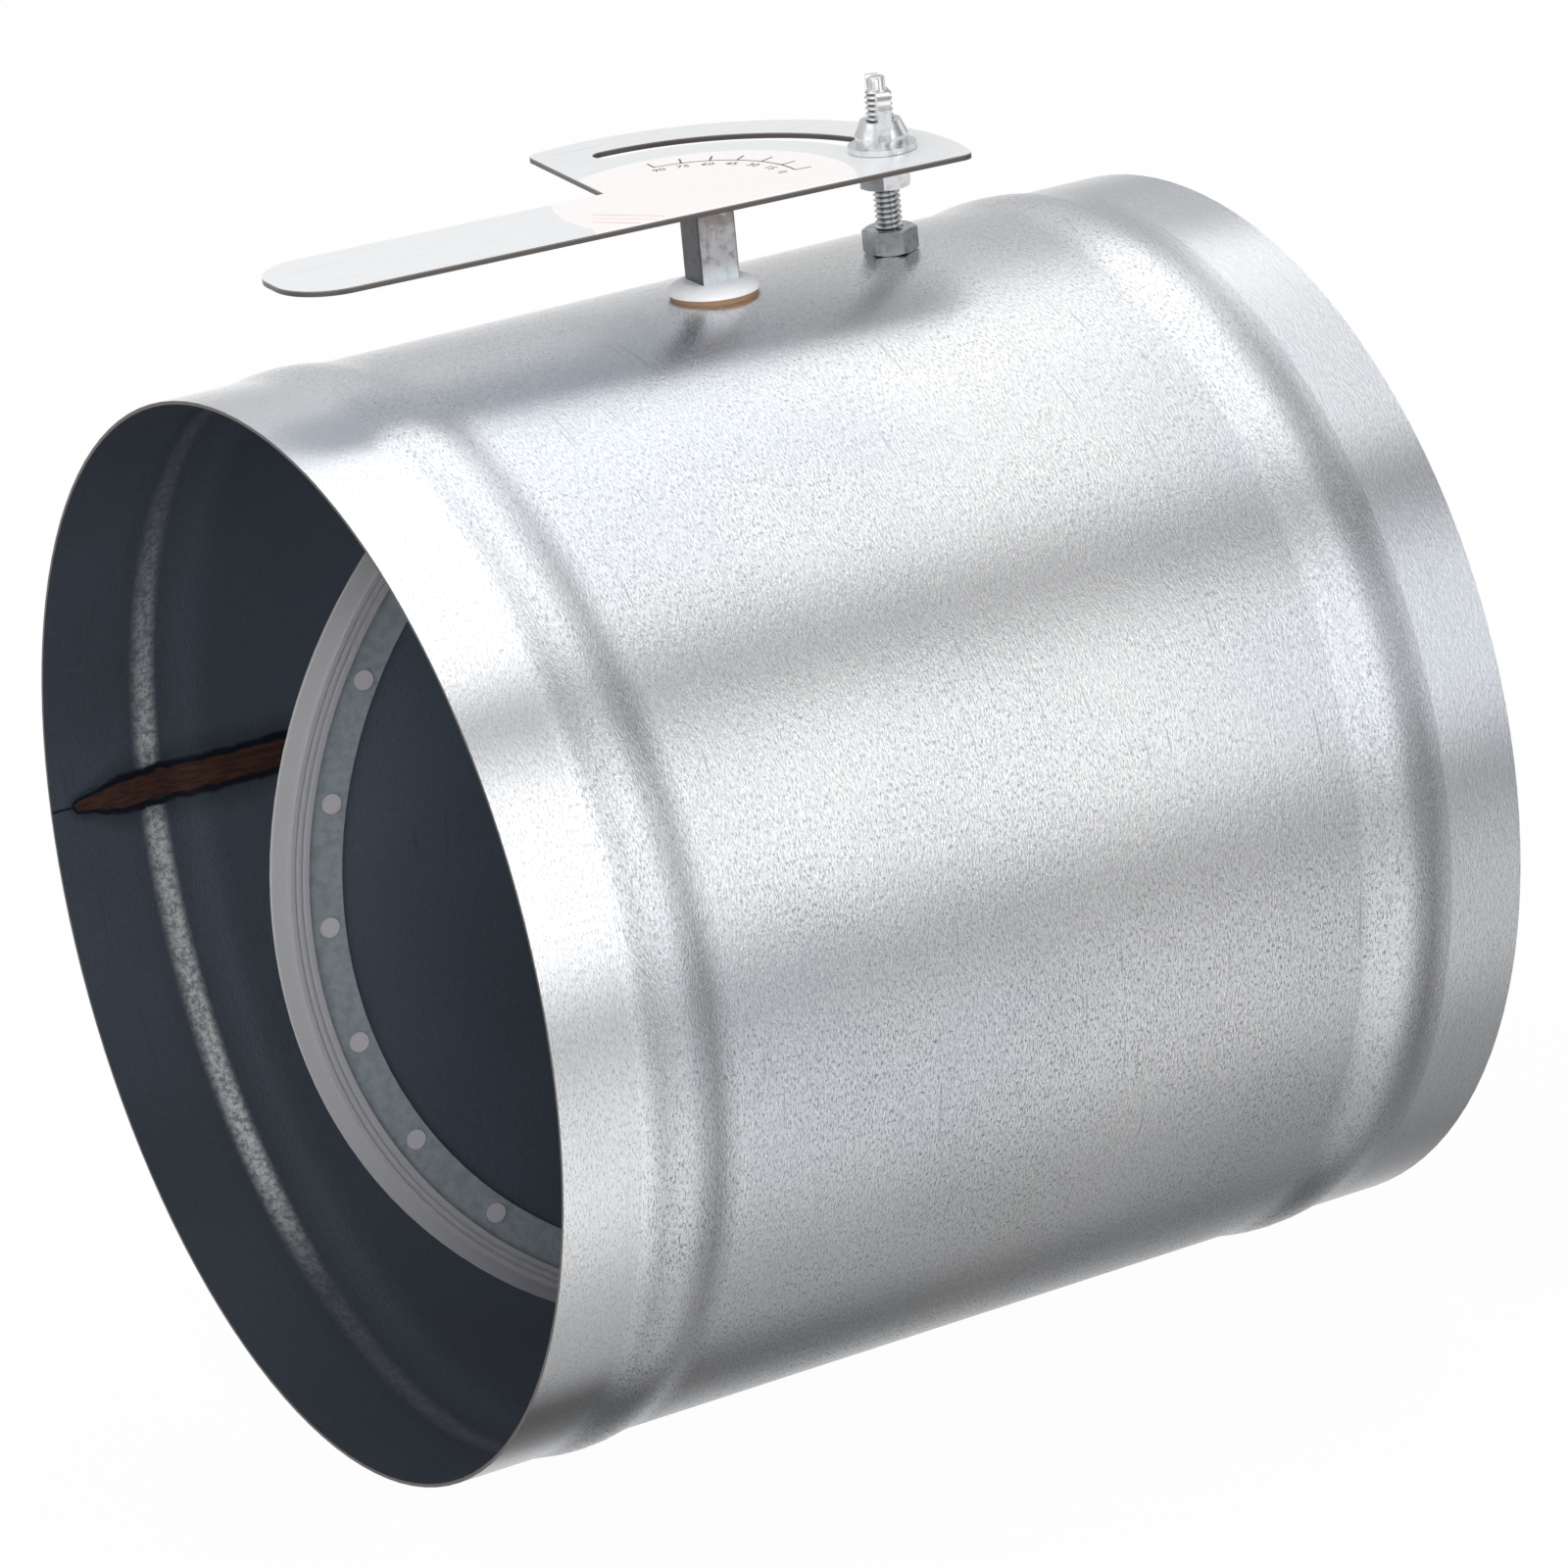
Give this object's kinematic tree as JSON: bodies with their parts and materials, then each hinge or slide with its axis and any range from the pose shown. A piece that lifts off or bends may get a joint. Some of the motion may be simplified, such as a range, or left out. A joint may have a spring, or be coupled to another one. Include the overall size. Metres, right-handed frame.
{
  "type": "volume control damper",
  "caption": "Round duct damper with a sealed disc blade on square half shafts, set by a quadrant handle that a wing nut clamps on a stud.",
  "frame": {"origin": "centre of the inlet end's rim plane", "axes": "+X along the duct from inlet to outlet, +Z along the blade's shaft towards the handle, +Y to the side the handle swings to as the blade shuts"},
  "size_m": [0.248, 0.2526, 0.2999],
  "materials": {
    "galvanised_sheet": "galvanised sheet, satin with fine spangle",
    "handle_sheet": "electro-galvanised sheet, satin",
    "blade_sheet": "galvanised sheet, satin",
    "shaft_steel": "drawn square bar, dull",
    "rivet_steel": "plain steel",
    "spring_steel": "phosphated spring steel",
    "zinc_fastener": "bright zinc",
    "weld_tint": "weld with brown heat tint",
    "silicone": "translucent grey silicone",
    "white_nylon": "natural nylon",
    "brown_fibre": "brown washer",
    "label_film": "matt film sticker"
  },
  "bodies": {
    "duct": {"duct_shell": "galvanised_sheet", "seam_weld": "weld_tint", "upper_gasket": "brown_fibre", "lower_gasket": "brown_fibre", "clamp_bolt": "zinc_fastener", "bolt_washer": "zinc_fastener", "stud_nut": "zinc_fastener", "support_nut": "zinc_fastener", "support_washer": "zinc_fastener"},
    "blade": {"blade_disc": "blade_sheet", "blade_seal": "silicone", "upper_shaft": "shaft_steel", "lower_shaft": "shaft_steel", "upper_rivets": "rivet_steel", "lower_rivets": "rivet_steel", "upper_bush": "white_nylon", "lower_bush": "white_nylon", "upper_retainer": "white_nylon", "lower_retainer": "white_nylon", "lower_washer": "zinc_fastener", "lower_clip": "spring_steel", "handle_plate": "handle_sheet", "handle_weld": "weld_tint", "scale_label": "label_film"},
    "clamp_washer": {"clamp_washer": "zinc_fastener"},
    "wing_nut": {"wing_nut": "zinc_fastener"}
  },
  "joints": [
    {"name": "blade_turn", "type": "hinge", "parent": "duct", "child": "blade", "pos_m": [0.124, 0, 0], "axis": [0, 0, 1], "range_deg": [-86.4, 3.6]},
    {"name": "washer_lift", "type": "slide", "parent": "duct", "child": "clamp_washer", "axis": [0, 0, 1], "range_m": [0, 0.00254]},
    {"name": "wing_nut_turn", "type": "hinge", "parent": "clamp_washer", "child": "wing_nut", "pos_m": [0.171, 0, 0.15], "axis": [0, 0, 1], "range_deg": [0, 720]}
  ],
  "couplings": [
    {"joint": "wing_nut_turn", "follows": "washer_lift", "rad_per_m": 4947.4}
  ]
}
